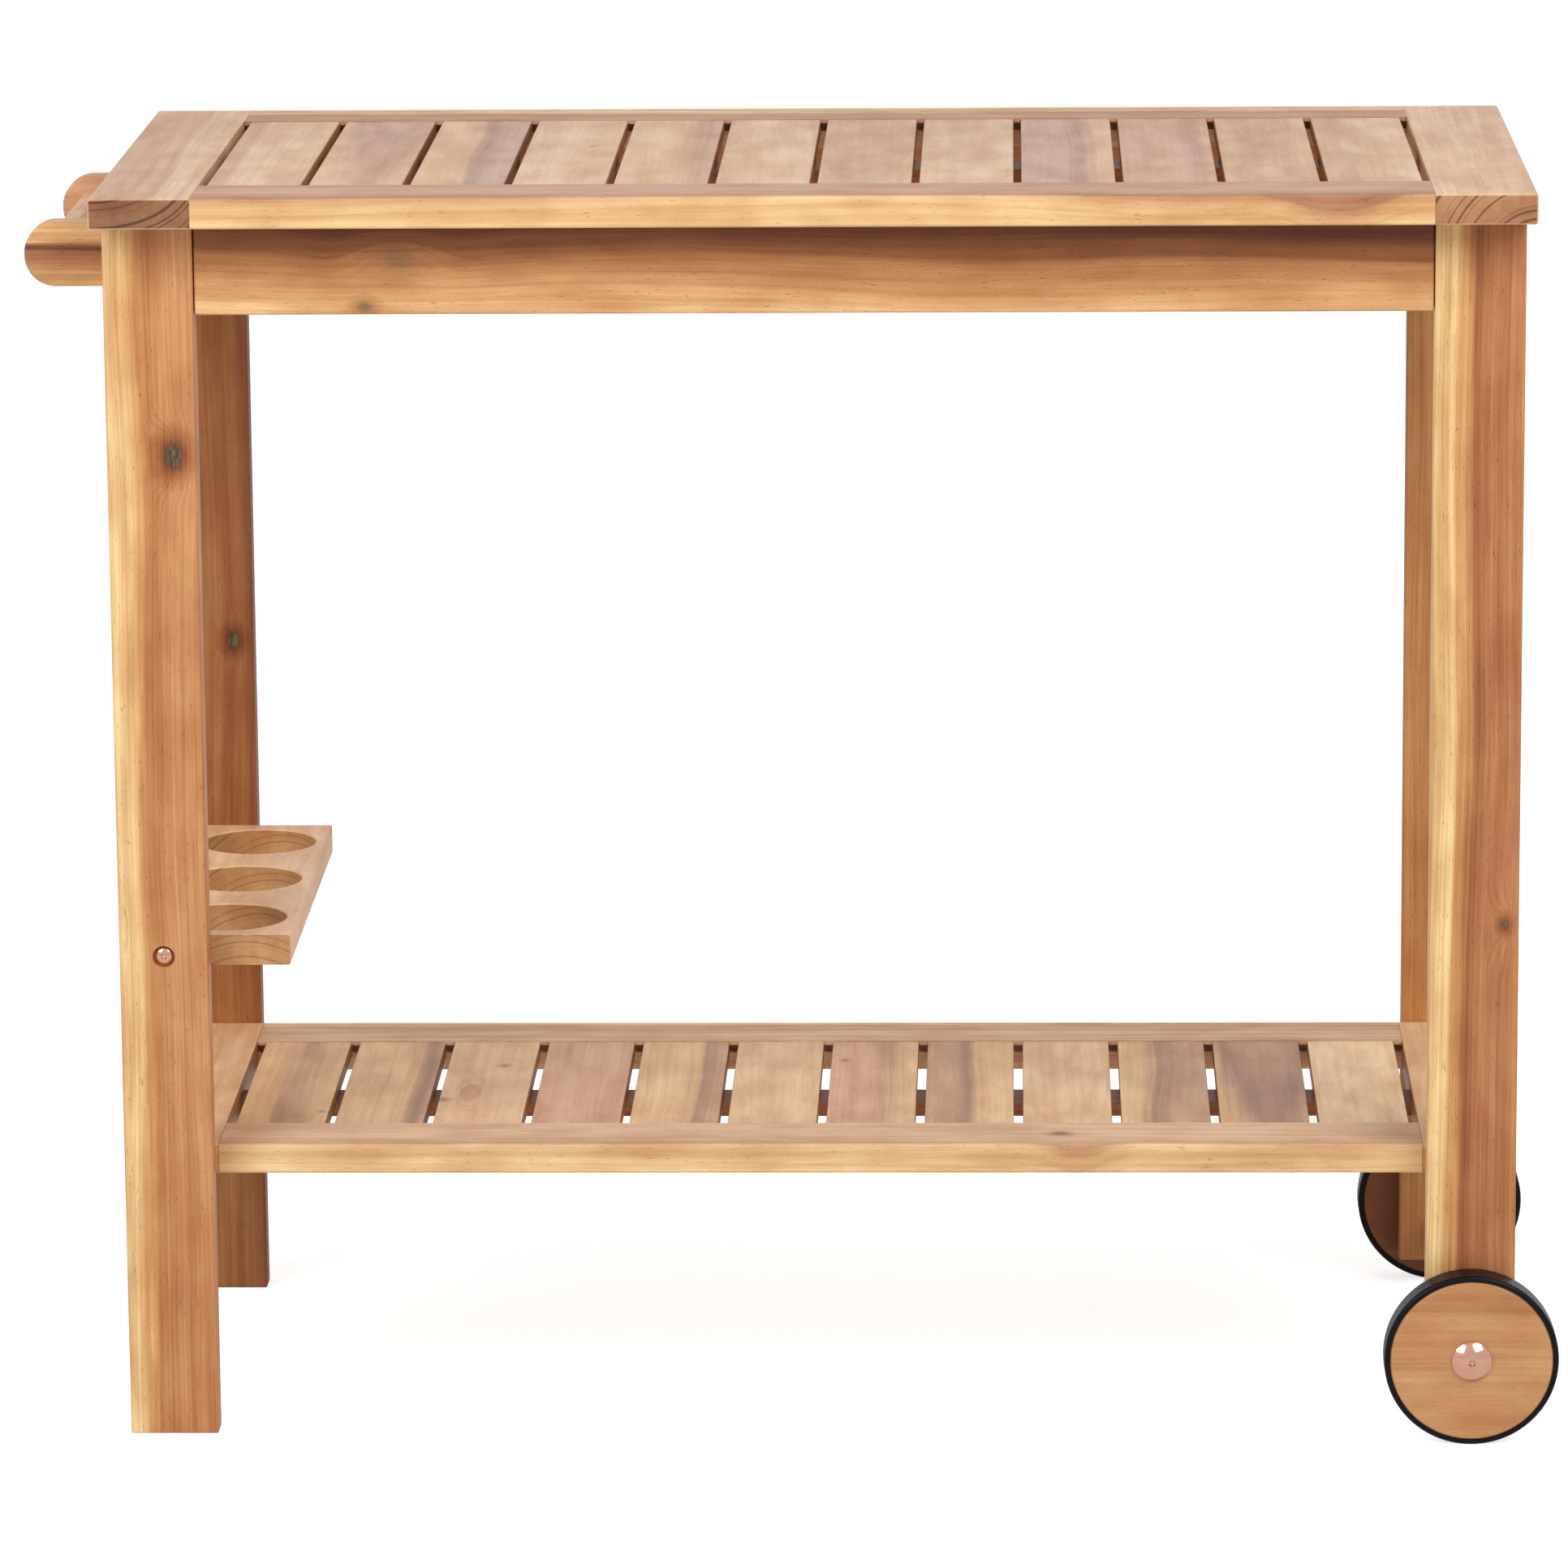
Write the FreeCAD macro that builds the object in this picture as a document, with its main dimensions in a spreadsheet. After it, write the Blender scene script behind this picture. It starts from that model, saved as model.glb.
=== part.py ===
import FreeCAD, Part
import math
import os
import re
import Sketcher

# Wooden serving trolley, millimetres. The floor is Z = 0, the handle is at -X, the wheels are
# at +X, and the trolley is the same on both sides of Y = 0.

SIZES = {
    # top: a frame of four boards round a row of slats
    "top_length": 920,
    "top_depth": 440,
    "top_height": 825,
    "frame_thick": 20,
    "frame_round": 2,
    "top_end_width": 65,
    "top_rail_width": 60,
    "top_slat_gap": 5,
    # slats of the top and of the shelf, tongued into their rails
    "slat_count": 12,
    "slat_thick": 10,
    "slat_drop": 0.5,
    "slat_round": 1,
    "tongue_thick": 5,
    "tongue_length": 6,
    "tongue_play": 0.2,
    "end_play": 0.3,
    # batten under each row of slats, let into the end boards
    "batten_width": 36,
    "batten_lap": 14,
    "batten_round": 1,
    # legs: upright boards, set in from the ends and from the long edges of the top
    "leg_width": 58,
    "leg_thick": 20,
    "leg_inset": 5,
    "leg_setback": 32,
    "leg_round": 1.5,
    "wheel_leg_lift": 20,
    # aprons under the top
    "apron_height": 60,
    "apron_thick": 20,
    "apron_recess": 1,
    "apron_gap": 0.6,
    "apron_round": 2,
    # shelf between the front legs and the back legs
    "shelf_height": 192,
    "shelf_end_width": 60,
    "shelf_rail_width": 55,
    "shelf_slat_gap": 6.2,
    # bottle rack between the two left legs
    "rack_height": 333,
    "rack_thick": 20,
    "rack_width": 96,
    "rack_right": 115,
    "rack_round": 1.5,
    "bottle_radius": 39,
    "bottle_end_wall": 14,
    "bottle_edge": 46,
    "rim_ease": 1,
    # handle: two arms off the left apron and a round bar between them
    "arm_reach": 53,
    "arm_height": 42,
    "arm_thick": 20,
    "arm_corner": 20,
    "arm_round": 1.5,
    "arm_setback": 100,
    "bar_radius": 12.5,
    "bar_inset": 23.5,
    "tenon_radius": 9,
    "tenon_length": 12,
    # wheels on one fixed axle through the two right legs
    "wheel_radius": 57,
    "wheel_thick": 22,
    "tyre_thick": 3.7,
    "tyre_round": 2.5,
    "disc_ease": 1,
    "axle_radius": 5,
    "axle_fit": 0.05,
    "bush_radius": 8,
    "press_gap": 0.02,
    "washer_radius": 11,
    "washer_thick": 2,
    "wheel_play": 0.3,
    "cap_radius": 13,
    "cap_height": 6,
    "cap_round": 4.5,
    "cap_socket": 3,
    "dimple_radius": 2.5,
    "dimple_depth": 0.8,
    # bolts into barrel nuts: rack to left legs, handle arms to left apron
    "bolt_radius": 3,
    "bolt_play": 0.3,
    "rack_bolt_length": 40,
    "arm_bolt_length": 31,
    "head_radius": 7,
    "head_height": 3,
    "head_round": 2,
    "head_seat": 3.5,
    "key_radius": 2.3,
    "key_depth": 1.5,
    "nut_radius": 5,
    "nut_length": 14,
    "rack_nut_inset": 20,
    "arm_nut_inset": 11,
    "thread_fit": 0.05,
    # dowels in the wooden joints
    "dowel_radius": 4,
    "dowel_half": 11,
    "dowel_fit": 0.05,
    "dowel_play": 1,
    "dowel_spread": 12,
    "leg_dowel_spread": 15,
    "rack_dowel_offset": 18,
    "arm_dowel_rise": 13,
    # screws up through the battens
    "screw_radius": 1.8,
    "screw_length": 16,
    "screw_head_radius": 3.6,
    "screw_head_height": 1.8,
    "screw_fit": 0.05,
}

# Places that several pieces share, written as formulas of the sizes.
TOP_LEFT = "((arm_reach - top_length - wheel_radius + leg_inset + leg_width/2)/2)"
TOP_RIGHT = f"({TOP_LEFT} + top_length)"
TOP_UNDER = "(top_height - frame_thick)"
TOP_SIDE = "(top_depth/2)"
TOP_INNER_SIDE = f"({TOP_SIDE} - top_rail_width)"
TOP_INNER_LEFT = f"({TOP_LEFT} + top_end_width)"
TOP_INNER_RIGHT = f"({TOP_RIGHT} - top_end_width)"

LEG_OUTER_SIDE = f"({TOP_SIDE} - leg_setback)"
LEG_INNER_SIDE = f"({LEG_OUTER_SIDE} - leg_thick)"
LEG_SIDE_MIDDLE = f"({LEG_OUTER_SIDE} - leg_thick/2)"
LEFT_LEG = f"({TOP_LEFT} + leg_inset)"
LEFT_LEG_MIDDLE = f"({LEFT_LEG} + leg_width/2)"
LEFT_LEG_INNER = f"({LEFT_LEG} + leg_width)"
RIGHT_LEG = f"({TOP_RIGHT} - leg_inset)"
RIGHT_LEG_MIDDLE = f"({RIGHT_LEG} - leg_width/2)"
RIGHT_LEG_INNER = f"({RIGHT_LEG} - leg_width)"

APRON_UNDER = f"({TOP_UNDER} - apron_height)"
APRON_MIDDLE = f"({TOP_UNDER} - apron_height/2)"
APRON_OUTER_SIDE = f"({LEG_OUTER_SIDE} - apron_recess)"
APRON_SIDE_MIDDLE = f"({APRON_OUTER_SIDE} - apron_thick/2)"
LEFT_APRON = f"({LEFT_LEG} + apron_recess)"
LEFT_APRON_INNER = f"({LEFT_APRON} + apron_thick)"
RIGHT_APRON = f"({RIGHT_LEG} - apron_recess)"
RIGHT_APRON_INNER = f"({RIGHT_APRON} - apron_thick)"

SHELF_UNDER = "(shelf_height - frame_thick)"
SHELF_MIDDLE = "(shelf_height - frame_thick/2)"
SHELF_INNER_SIDE = f"({LEG_INNER_SIDE} - shelf_rail_width)"
SHELF_INNER_LEFT = f"({LEFT_LEG} + shelf_end_width)"
SHELF_INNER_RIGHT = f"({RIGHT_LEG} - shelf_end_width)"

RACK_LEFT = f"({TOP_LEFT} + rack_right - rack_width)"
RACK_RIGHT = f"({TOP_LEFT} + rack_right)"
RACK_MIDDLE = "(rack_height - rack_thick/2)"
BOTTLE_LINE = f"({RACK_RIGHT} - bottle_edge)"
BOTTLE_PITCH = f"({LEG_INNER_SIDE} - bottle_end_wall - bottle_radius)"

ARM_TIP = f"({TOP_LEFT} - arm_reach)"
ARM_OUTER_SIDE = f"({TOP_SIDE} - arm_setback)"
ARM_INNER_SIDE = f"({ARM_OUTER_SIDE} - arm_thick)"
ARM_SIDE_MIDDLE = f"({ARM_OUTER_SIDE} - arm_thick/2)"
BAR_LINE = f"({ARM_TIP} + bar_inset)"

WHEEL_INNER_SIDE = f"({LEG_OUTER_SIDE} + washer_thick + wheel_play)"
WHEEL_OUTER_SIDE = f"({WHEEL_INNER_SIDE} + wheel_thick)"
CAP_SIDE = f"({WHEEL_OUTER_SIDE} + wheel_play)"
DISC_RADIUS = "(wheel_radius - tyre_thick)"

DOWEL_BORE = "(dowel_radius + dowel_fit)"
DOWEL_DEPTH = "(dowel_half + dowel_play)"
BOLT_BORE = "(bolt_radius + bolt_play)"

PLANES = {"x": "YZ_Plane", "y": "XZ_Plane", "z": "XY_Plane"}
IN_PLANE = {"x": (1, 2), "y": (0, 2), "z": (0, 1)}

doc = FreeCAD.newDocument("cheese_trolley")
sheet = doc.addObject("Spreadsheet::Sheet", "sizes")
for row, (alias, value) in enumerate(SIZES.items(), start=1):
    sheet.set(f"A{row}", alias)
    sheet.set(f"B{row}", str(value))
    sheet.setAlias(f"B{row}", alias)
doc.recompute()


def bind(target, field, formula):
    """Tie a property to the sheet: every name with an underscore is one of its sizes."""
    target.setExpression(field, re.sub(r"[a-z]+(?:_[a-z]+)+", r"sizes.\g<0>", formula))


def opposite(formula):
    """The same place on the other side of a middle plane."""
    return f"(-{formula})"


class Piece:
    """One piece of the trolley: a body with its own origin, drawn from places on the trolley."""

    def __init__(self, label, origin):
        self.body = doc.addObject("PartDesign::Body", label)
        self.body.Label = label
        self.origin = origin
        for axis, place in zip("xyz", origin):
            bind(self.body, f"Placement.Base.{axis}", place)

    def local(self, index, place):
        return f"({place} - {self.origin[index]})"

    def sketch(self, axis, level):
        """An empty sketch square to an axis, at a level along it."""
        drawing = self.body.newObject("Sketcher::SketchObject", "Sketch")
        flats = self.body.Origin.OriginFeatures
        drawing.AttachmentSupport = (next(f for f in flats if f.Role == PLANES[axis]), "")
        drawing.MapMode = "FlatFace"
        sign = "-" if axis == "y" else ""
        bind(drawing, "AttachmentOffset.Base.z", sign + self.local("xyz".index(axis), level))
        return drawing

    def pin(self, drawing, axis, geometry, point, spot):
        """Fix a point of a sketch at a spot given in the trolley's frame."""
        for kind, index, place in zip(("DistanceX", "DistanceY"), IN_PLANE[axis], spot):
            rule = drawing.addConstraint(Sketcher.Constraint(kind, -1, 1, geometry, point, 1.0))
            bind(drawing, f"Constraints[{rule}]", self.local(index, place))

    def polygon(self, axis, level, corners):
        drawing = self.sketch(axis, level)
        count = len(corners)
        turns = [2 * math.pi * k / count for k in range(count)]
        ring = [FreeCAD.Vector(math.cos(t), math.sin(t), 0) for t in turns]
        sides = [Part.LineSegment(ring[k], ring[(k + 1) % count]) for k in range(count)]
        drawing.addGeometry(sides, False)
        for k in range(count):
            drawing.addConstraint(Sketcher.Constraint("Coincident", k, 2, (k + 1) % count, 1))
        for k, corner in enumerate(corners):
            self.pin(drawing, axis, k, 1, corner)
        return drawing

    def rectangle(self, axis, level, low, high):
        corners = [low, (high[0], low[1]), high, (low[0], high[1])]
        return self.polygon(axis, level, corners)

    def circles(self, axis, level, radius, spots):
        drawing = self.sketch(axis, level)
        for k, spot in enumerate(spots):
            middle = FreeCAD.Vector(10.0 * k, 0, 0)
            drawing.addGeometry(Part.Circle(middle, FreeCAD.Vector(0, 0, 1), 1.0), False)
            self.pin(drawing, axis, k, 3, spot)
            rule = drawing.addConstraint(Sketcher.Constraint("Radius", k, 1.0))
            bind(drawing, f"Constraints[{rule}]", radius)
        return drawing

    def pad(self, axis, start, end, drawing):
        """Add material from the drawing's level, the start, up to the end along an axis."""
        pad = self.body.newObject("PartDesign::Pad", "Pad")
        pad.Profile = drawing
        pad.Reversed = axis == "y"
        bind(pad, "Length", f"({end} - {start})")
        doc.recompute()

    def cut(self, axis, start, end, drawing):
        """Take material away from the start up to the end along an axis."""
        before = self.body.Shape.Volume
        pocket = self.body.newObject("PartDesign::Pocket", "Pocket")
        pocket.Profile = drawing
        pocket.Reversed = axis != "y"
        bind(pocket, "Length", f"({end} - {start})")
        doc.recompute()
        if not self.body.Shape.Volume < before:
            raise RuntimeError(f"{self.body.Label}: a cut along {axis} takes nothing away")

    def block(self, low, high):
        """A plain board between two opposite corners, padded upwards."""
        self.pad("z", low[2], high[2], self.rectangle("z", low[2], low[:2], high[:2]))

    def bore(self, axis, start, end, radius, spots):
        self.cut(axis, start, end, self.circles(axis, start, radius, spots))

    def edges(self, along=None, on=None, off=None):
        """Names of the straight edges along some axes, on some outer faces and off others."""
        shape = self.body.Tip.Shape
        box = shape.BoundBox
        limits = {"-x": box.XMin, "+x": box.XMax, "-y": box.YMin, "+y": box.YMax,
                  "-z": box.ZMin, "+z": box.ZMax}
        found = []
        for number, edge in enumerate(shape.Edges, start=1):
            if not isinstance(edge.Curve, Part.Line):
                continue
            span = edge.Vertexes[-1].Point - edge.Vertexes[0].Point
            lengths = {"x": abs(span.x), "y": abs(span.y), "z": abs(span.z)}
            direction = max(lengths, key=lengths.get)
            sides = set()
            for side, limit in limits.items():
                if all(abs(getattr(v.Point, side[1]) - limit) < 1e-4 for v in edge.Vertexes):
                    sides.add(side)
            if along and direction not in along:
                continue
            if on and not any(set(group.split()) <= sides for group in on):
                continue
            if off and sides & set(off):
                continue
            found.append(f"Edge{number}")
        return found

    def dress(self, kind, field, amount, names):
        base = self.body.Tip
        dressing = self.body.newObject("PartDesign::" + kind, kind)
        dressing.Base = (base, names)
        bind(dressing, field, amount)
        doc.recompute()

    def ease(self, radius, **choice):
        """Round the chosen straight edges."""
        self.dress("Fillet", "Radius", radius, self.edges(**choice))


dowels = []


def dowel_joint(low, high, axis, level, spots):
    """Bore two pieces that meet at a level and set a dowel across it at each spot."""
    below = f"({level} - {DOWEL_DEPTH})"
    above = f"({level} + {DOWEL_DEPTH})"
    low.bore(axis, below, level, DOWEL_BORE, spots)
    high.bore(axis, level, above, DOWEL_BORE, spots)
    turn = {"x": FreeCAD.Rotation(FreeCAD.Vector(0, 1, 0), 90),
            "y": FreeCAD.Rotation(FreeCAD.Vector(1, 0, 0), -90),
            "z": FreeCAD.Rotation()}[axis]
    for spot in spots:
        dowel = doc.addObject("Part::Cylinder", "Dowel")
        dowel.Placement = FreeCAD.Placement(FreeCAD.Vector(), turn)
        bind(dowel, "Radius", "dowel_radius")
        bind(dowel, "Height", "2*dowel_half")
        bind(dowel, f"Placement.Base.{axis}", f"({level} - dowel_half)")
        for index, place in zip(IN_PLANE[axis], spot):
            bind(dowel, f"Placement.Base.{'xyz'[index]}", place)
        dowels.append(dowel)


def slotted_rail(label, left, right, side, top, width, front):
    """A long rail, its outer edge rounded and its inner edge grooved for the slats' tongues."""
    outer = opposite(side) if front else side
    inner = f"({outer} + {width})" if front else f"({outer} - {width})"
    floor = f"({inner} - tongue_length - end_play)" if front else f"({inner} + tongue_length + end_play)"
    under = f"({top} - frame_thick)"
    seat = f"({top} - slat_drop - slat_thick/2 - tongue_thick/2)"
    roof = f"({seat} + tongue_thick + tongue_play)"
    rail = Piece(label, (left, outer, under))
    profile = [(outer, under), (inner, under), (inner, seat), (floor, seat), (floor, roof),
               (inner, roof), (inner, top), (outer, top)]
    rail.pad("x", left, right, rail.polygon("x", left, profile))
    side_name = "-y" if front else "+y"
    rail.ease("frame_round", along="x", on=[side_name + " -z", side_name + " +z"])
    return rail


def slat(label, left, right, side, top):
    """A cross slat with a tongue at each end, resting on the lower lip of both grooves."""
    surface = f"({top} - slat_drop)"
    under = f"({surface} - slat_thick)"
    seat = f"({surface} - slat_thick/2 - tongue_thick/2)"
    roof = f"({seat} + tongue_thick)"
    shoulder = f"({side} - end_play)"
    tip = f"({side} + tongue_length)"
    front, far = opposite(shoulder), opposite(tip)
    board = Piece(label, (left, far, under))
    profile = [(front, under), (shoulder, under), (shoulder, seat), (tip, seat), (tip, roof),
               (shoulder, roof), (shoulder, surface), (front, surface), (front, roof),
               (far, roof), (far, seat), (front, seat)]
    board.pad("x", left, right, board.polygon("x", left, profile))
    board.ease("slat_round", along="y", on=["-x +z", "+x +z"])
    return board


def end_board(label, outer, inner, side, top, left):
    """A board across the depth, rounded all round but where the rails meet it."""
    low, high = (outer, inner) if left else (inner, outer)
    under = f"({top} - frame_thick)"
    board = Piece(label, (low, opposite(side), under))
    board.block((low, opposite(side), under), (high, side, top))
    board.ease("frame_round", off=["+x"] if left else ["-x"])
    lap_low, lap_high = f"({inner} - batten_lap - end_play)", inner
    if not left:
        lap_low, lap_high = inner, f"({inner} + batten_lap + end_play)"
    half = "(batten_width/2 + end_play)"
    roof = f"({top} - slat_drop - slat_thick)"
    board.cut("z", under, roof, board.rectangle("z", under, (lap_low, opposite(half)),
                                                (lap_high, half)))
    return board


def batten(label, left, right, top):
    """The flat strip under the slats, its ends let into both end boards."""
    start, stop = f"({left} - batten_lap)", f"({right} + batten_lap)"
    under = f"({top} - frame_thick)"
    roof = f"({top} - slat_drop - slat_thick)"
    strip = Piece(label, (start, "(-batten_width/2)", under))
    strip.block((start, "(-batten_width/2)", under), (stop, "(batten_width/2)", roof))
    strip.ease("batten_round", along="x", on=["-y -z", "+y -z"])
    return strip


screws = []


def screw(spot, under):
    """A countersunk screw whose head lies flush with the underside of a batten."""
    head = doc.addObject("Part::Cone", "ScrewHead")
    bind(head, "Radius1", "screw_head_radius")
    bind(head, "Radius2", "screw_radius")
    bind(head, "Height", "screw_head_height")
    shank = doc.addObject("Part::Cylinder", "ScrewShank")
    bind(shank, "Radius", "screw_radius")
    bind(shank, "Height", "screw_length")
    for solid in (head, shank):
        for axis, place in zip("xyz", (spot[0], spot[1], under)):
            bind(solid, f"Placement.Base.{axis}", place)
        screws.append(solid)


def screw_line(strip, boards, spots, top):
    """Screw a batten to the boards above it, one screw to a board."""
    under = f"({top} - frame_thick)"
    roof = f"({top} - slat_drop - slat_thick)"
    head_top = f"({under} + screw_head_height)"
    tip = f"({under} + screw_length + screw_fit)"
    strip.bore("z", under, head_top, "(screw_head_radius + screw_fit)", spots)
    strip.bore("z", head_top, roof, "(screw_radius + screw_fit)", spots)
    for board, spot in zip(boards, spots):
        board.bore("z", roof, tip, "(screw_radius + screw_fit)", [spot])
        screw(spot, under)


def slatted_frame(name, outer, inner, side, inner_side, top, gap, rail_width):
    """Two end boards, two rails, a row of slats and a batten: the top, and again the shelf."""
    left, right = outer
    inner_left, inner_right = inner
    ends = [end_board(f"{name}_end_board_left", left, inner_left, side, top, True),
            end_board(f"{name}_end_board_right", right, inner_right, side, top, False)]
    rails = [slotted_rail(f"{name}_rail_front", inner_left, inner_right, side, top, rail_width, True),
             slotted_rail(f"{name}_rail_back", inner_left, inner_right, side, top, rail_width, False)]
    middle = f"({top} - frame_thick/2)"
    for rail, sign in zip(rails, ("-", "")):
        spot = (f"({sign}({side} - {rail_width}/2))", middle)
        dowel_joint(ends[0], rail, "x", inner_left, [spot])
        dowel_joint(rail, ends[1], "x", inner_right, [spot])
    width = f"(({inner_right} - {inner_left} - (slat_count + 1)*{gap})/slat_count)"
    pitch = f"({width} + {gap})"
    slats = []
    middles = []
    for k in range(SIZES["slat_count"]):
        start = f"({inner_left} + {gap} + {k}*{pitch})"
        stop = f"({start} + {width})"
        slats.append(slat(f"{name}_slat_{k + 1:02d}", start, stop, inner_side, top))
        middles.append(f"({start} + {width}/2)")
    strip = batten(f"{name}_batten", inner_left, inner_right, top)
    spots = [(f"({inner_left} - batten_lap/2)", "0")]
    spots += [(middle_line, "0") for middle_line in middles]
    spots += [(f"({inner_right} + batten_lap/2)", "0")]
    screw_line(strip, [ends[0]] + slats + [ends[1]], spots, top)
    return ends, rails, slats, strip


def leg(label, left, front, lift):
    """An upright board, its long edges and its foot eased."""
    side = opposite(LEG_OUTER_SIDE) if front else LEG_INNER_SIDE
    far = opposite(LEG_INNER_SIDE) if front else LEG_OUTER_SIDE
    upright = Piece(label, (left, side, lift))
    upright.block((left, side, lift), (f"({left} + leg_width)", far, TOP_UNDER))
    upright.ease("leg_round", off=["+z"])
    return upright


def long_apron(label, front):
    """A board under the top between two legs of one side, its lower corners eased."""
    low = opposite(APRON_OUTER_SIDE) if front else f"({APRON_OUTER_SIDE} - apron_thick)"
    high = f"({low} + apron_thick)"
    start, stop = f"({LEFT_LEG_INNER} + apron_gap)", f"({RIGHT_LEG_INNER} - apron_gap)"
    board = Piece(label, (start, low, APRON_UNDER))
    board.block((start, low, APRON_UNDER), (stop, high, TOP_UNDER))
    board.ease("apron_round", off=["+z"])
    return board


def end_apron(label, low):
    """A board under the top between the front leg and the back leg of one end."""
    start, stop = opposite(LEG_INNER_SIDE), LEG_INNER_SIDE
    board = Piece(label, (low, start, APRON_UNDER))
    board.block((low, start, APRON_UNDER), (f"({low} + apron_thick)", stop, TOP_UNDER))
    board.ease("apron_round", along="y", on=["-x -z", "+x -z"])
    return board


# The top and the shelf
top_ends, top_rails, top_slats, top_batten = slatted_frame(
    "top", (TOP_LEFT, TOP_RIGHT), (TOP_INNER_LEFT, TOP_INNER_RIGHT), TOP_SIDE,
    TOP_INNER_SIDE, "top_height", "top_slat_gap", "top_rail_width")
shelf_ends, shelf_rails, shelf_slats, shelf_batten = slatted_frame(
    "shelf", (LEFT_LEG, RIGHT_LEG), (SHELF_INNER_LEFT, SHELF_INNER_RIGHT), LEG_INNER_SIDE,
    SHELF_INNER_SIDE, "shelf_height", "shelf_slat_gap", "shelf_rail_width")

# Legs and aprons
leg_front_left = leg("leg_front_left", LEFT_LEG, True, "0")
leg_back_left = leg("leg_back_left", LEFT_LEG, False, "0")
leg_front_right = leg("leg_front_right", RIGHT_LEG_INNER, True, "wheel_leg_lift")
leg_back_right = leg("leg_back_right", RIGHT_LEG_INNER, False, "wheel_leg_lift")
apron_front = long_apron("apron_front", True)
apron_back = long_apron("apron_back", False)
apron_left = end_apron("apron_left", LEFT_APRON)
apron_right = end_apron("apron_right", RIGHT_APRON_INNER)

apron_heights = (f"({APRON_MIDDLE} - dowel_spread)", f"({APRON_MIDDLE} + dowel_spread)")
long_sides = ((leg_front_left, apron_front, leg_front_right, opposite(APRON_SIDE_MIDDLE)),
              (leg_back_left, apron_back, leg_back_right, APRON_SIDE_MIDDLE))
for left_leg, apron, right_leg, middle in long_sides:
    spots = [(middle, height) for height in apron_heights]
    dowel_joint(left_leg, apron, "x", f"({LEFT_LEG_INNER} + apron_gap/2)", spots)
    dowel_joint(apron, right_leg, "x", f"({RIGHT_LEG_INNER} - apron_gap/2)", spots)

short_ends = (
    (leg_front_left, apron_left, leg_back_left, LEFT_APRON, LEFT_LEG_MIDDLE, shelf_ends[0],
     top_ends[0]),
    (leg_front_right, apron_right, leg_back_right, RIGHT_APRON_INNER, RIGHT_LEG_MIDDLE,
     shelf_ends[1], top_ends[1]))
for front_leg, apron, back_leg, apron_low, leg_middle, shelf_end, top_end in short_ends:
    spots = [(f"({apron_low} + apron_thick/2)", height) for height in apron_heights]
    dowel_joint(front_leg, apron, "y", opposite(LEG_INNER_SIDE), spots)
    dowel_joint(apron, back_leg, "y", LEG_INNER_SIDE, spots)
    spots = [(f"({leg_middle} - leg_dowel_spread)", SHELF_MIDDLE),
             (f"({leg_middle} + leg_dowel_spread)", SHELF_MIDDLE)]
    dowel_joint(front_leg, shelf_end, "y", opposite(LEG_INNER_SIDE), spots)
    dowel_joint(shelf_end, back_leg, "y", LEG_INNER_SIDE, spots)
    dowel_joint(front_leg, top_end, "z", TOP_UNDER, [(leg_middle, opposite(LEG_SIDE_MIDDLE))])
    dowel_joint(back_leg, top_end, "z", TOP_UNDER, [(leg_middle, LEG_SIDE_MIDDLE)])

# The bottle rack, with three round holes
rack = Piece("bottle_rack", (RACK_LEFT, opposite(LEG_INNER_SIDE), "(rack_height - rack_thick)"))
rack.block((RACK_LEFT, opposite(LEG_INNER_SIDE), "(rack_height - rack_thick)"),
           (RACK_RIGHT, LEG_INNER_SIDE, "rack_height"))
rack.ease("rack_round", along="y")
rack.bore("z", "(rack_height - rack_thick)", "rack_height", "bottle_radius",
          [(BOTTLE_LINE, f"({k}*{BOTTLE_PITCH})") for k in (-1, 0, 1)])
rims = [f"Edge{number}" for number, edge in enumerate(rack.body.Tip.Shape.Edges, start=1)
        if isinstance(edge.Curve, Part.Circle) and edge.isClosed()]
rack.dress("Chamfer", "Size", "rim_ease", rims)
rack_dowel = [(f"({LEFT_LEG_MIDDLE} + rack_dowel_offset)", RACK_MIDDLE)]
dowel_joint(leg_front_left, rack, "y", opposite(LEG_INNER_SIDE), rack_dowel)
dowel_joint(rack, leg_back_left, "y", LEG_INNER_SIDE, rack_dowel)

# The handle
arms = []
for label, low in (("handle_arm_front", opposite(ARM_OUTER_SIDE)), ("handle_arm_back", ARM_INNER_SIDE)):
    high = f"({low} + arm_thick)"
    arm_under, arm_top = f"({APRON_MIDDLE} - arm_height/2)", f"({APRON_MIDDLE} + arm_height/2)"
    arm = Piece(label, (ARM_TIP, low, arm_under))
    arm.block((ARM_TIP, low, arm_under), (LEFT_APRON, high, arm_top))
    arm.ease("arm_corner", along="y", on=["-x -z", "-x +z"])
    outline = arm.edges(off=["+x"], on=["-y", "+y"])
    outline += [f"Edge{number}" for number, edge in enumerate(arm.body.Tip.Shape.Edges, start=1)
                if isinstance(edge.Curve, Part.Circle)]
    arm.dress("Fillet", "Radius", "arm_round", outline)
    arms.append(arm)
arm_front, arm_back = arms
arm_front.bore("y", f"(-{ARM_INNER_SIDE} - tenon_length - end_play)", opposite(ARM_INNER_SIDE),
               "(tenon_radius + dowel_fit)", [(BAR_LINE, APRON_MIDDLE)])
arm_back.bore("y", ARM_INNER_SIDE, f"({ARM_INNER_SIDE} + tenon_length + end_play)",
              "(tenon_radius + dowel_fit)", [(BAR_LINE, APRON_MIDDLE)])

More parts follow.
